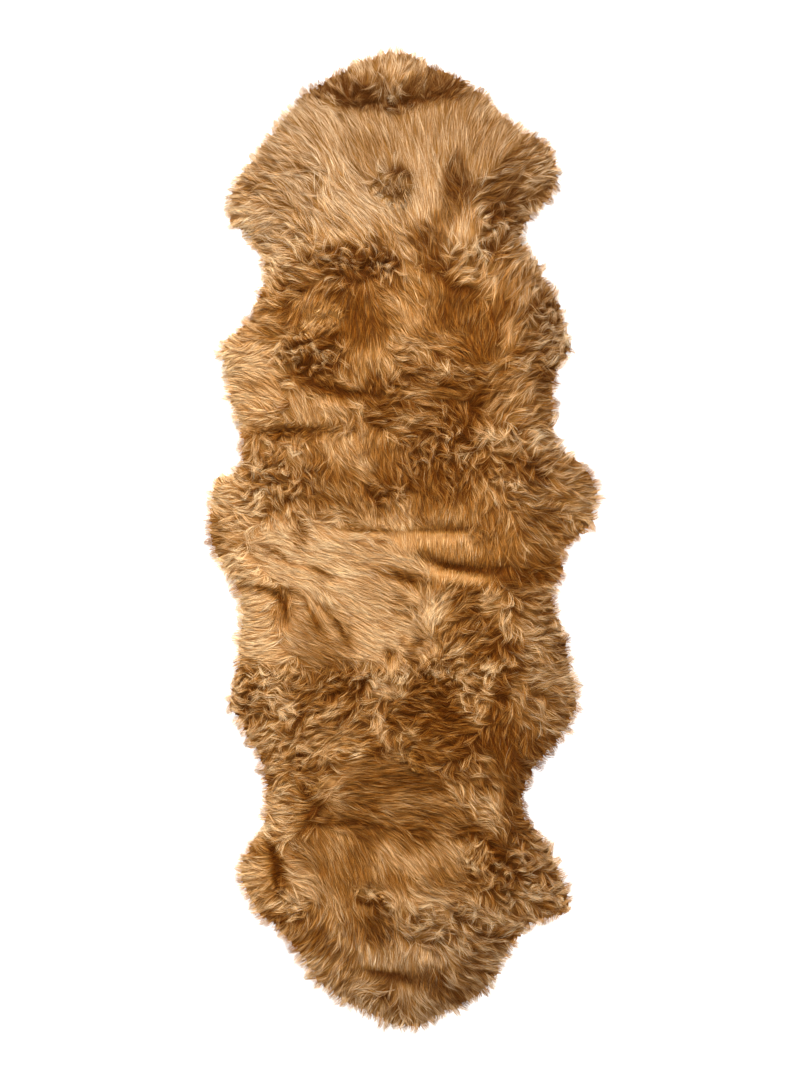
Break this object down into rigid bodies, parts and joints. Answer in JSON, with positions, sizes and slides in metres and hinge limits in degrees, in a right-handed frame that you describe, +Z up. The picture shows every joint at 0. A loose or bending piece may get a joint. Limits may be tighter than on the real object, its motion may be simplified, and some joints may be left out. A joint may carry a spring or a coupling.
{
  "type": "double sheepskin rug",
  "caption": "Long floor rug of sheepskins sewn rump to rump: deep, shaggy golden-brown wool on tanned skin, with a lobed outline, lying flat.",
  "frame": {"origin": "on the floor, under the middle of the rug", "axes": "+Y along the rug towards the neck of the upper pelt, +X to the right of the picture, +Z up through the wool"},
  "size_m": [0.7199, 1.801, 0.0459],
  "materials": {
    "skin": "matt suede, flesh side down",
    "wool": "long combed wool, golden brown"
  },
  "bodies": {
    "root": {"upper_skin": "skin", "lower_skin": "skin", "upper_fleece": "wool", "lower_fleece": "wool"}
  },
  "joints": []
}
